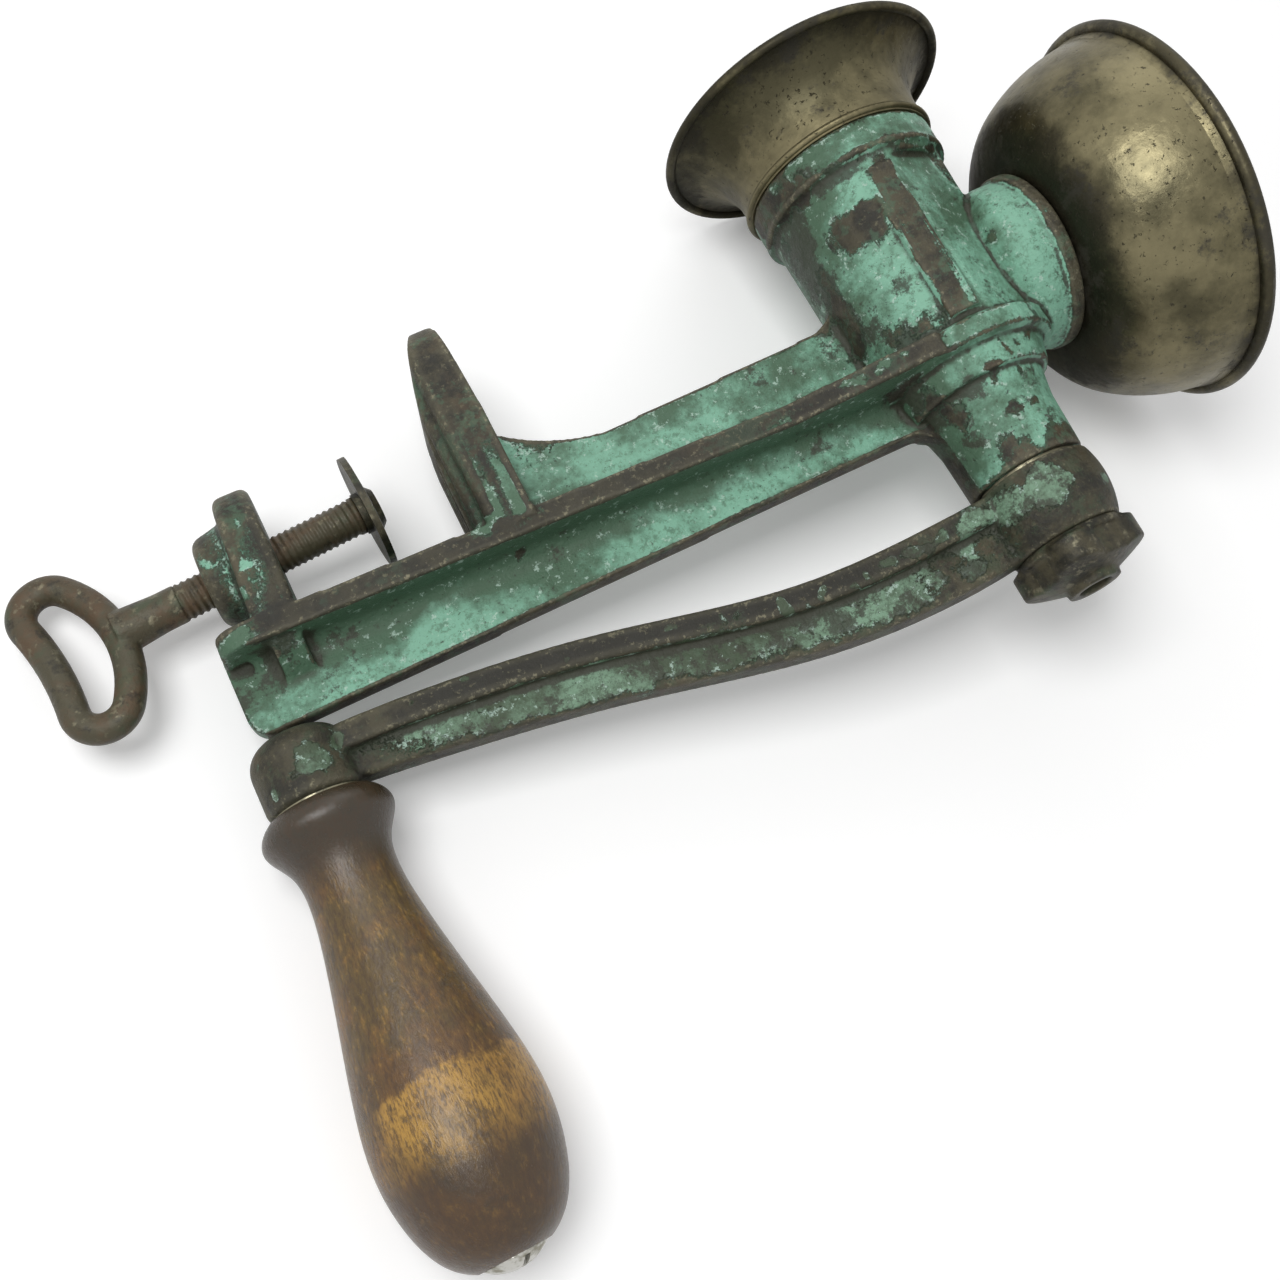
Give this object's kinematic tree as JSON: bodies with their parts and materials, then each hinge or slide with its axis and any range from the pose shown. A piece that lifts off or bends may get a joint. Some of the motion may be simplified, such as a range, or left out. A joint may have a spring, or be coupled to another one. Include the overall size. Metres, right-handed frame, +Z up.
{
  "type": "spice mill",
  "caption": "Hand cranked table-clamp spice mill with a top hopper bowl, side outlet funnel, toothed burrs, a bowed crank with a turned wooden grip and a screw clamp.",
  "frame": {"origin": "middle of the fixed jaw's lower face, which rests on the table top, straight below the hopper's axis", "axes": "+Z up, along the beam and the hopper's axis; +Y along the shaft, from the outlet funnel to the crank; +X to the side that the picture shows"},
  "size_m": [0.0876, 0.1911, 0.2592],
  "materials": {
    "body_enamel": "satin",
    "crank_enamel": "satin",
    "spun_brass": "satin",
    "bush_brass": "satin",
    "burr_iron": "matte",
    "nut_iron": "matte",
    "clamp_iron": "matte",
    "steel": "satin",
    "grip_wood": "satin"
  },
  "bodies": {
    "frame": {"body_casting": "body_enamel", "hopper_bowl": "spun_brass", "hopper_screws": "steel", "outlet_funnel": "spun_brass", "burr_ring": "burr_iron", "hub_bush": "bush_brass", "thrust_washer": "steel"},
    "crank": {"crank_arm": "crank_enamel", "drive_shaft": "steel", "feed_worm": "burr_iron", "worm_pin": "steel", "rotor_burr": "burr_iron", "nose_washer": "steel", "nose_nut": "steel", "hub_washer": "steel", "crank_nut": "nut_iron", "grip_spindle": "steel", "grip_washer": "steel", "end_washer": "steel"},
    "grip": {"wood_grip": "grip_wood"},
    "pad": {"clamp_pad": "clamp_iron"},
    "screw": {"clamp_screw": "clamp_iron"}
  },
  "joints": [
    {"name": "crank_turn", "type": "hinge", "parent": "frame", "child": "crank", "pos_m": [0, 0, 0.1105], "axis": [0, 1, 0], "continuous": true},
    {"name": "grip_spin", "type": "hinge", "parent": "crank", "child": "grip", "pos_m": [0, 0, -0.048], "axis": [0, 1, 0], "continuous": true},
    {"name": "pad_travel", "type": "slide", "parent": "frame", "child": "pad", "axis": [0, -0.0593, 0.9982], "range_m": [-0.0165, 0.01]},
    {"name": "screw_turn", "type": "hinge", "parent": "pad", "child": "screw", "pos_m": [0, -0.0065, -0.041], "axis": [0, -0.0593, 0.9982], "range_deg": [-4212, 2552]}
  ],
  "couplings": [
    {"joint": "pad_travel", "follows": "screw_turn", "m_per_rad": 0.00022441}
  ]
}
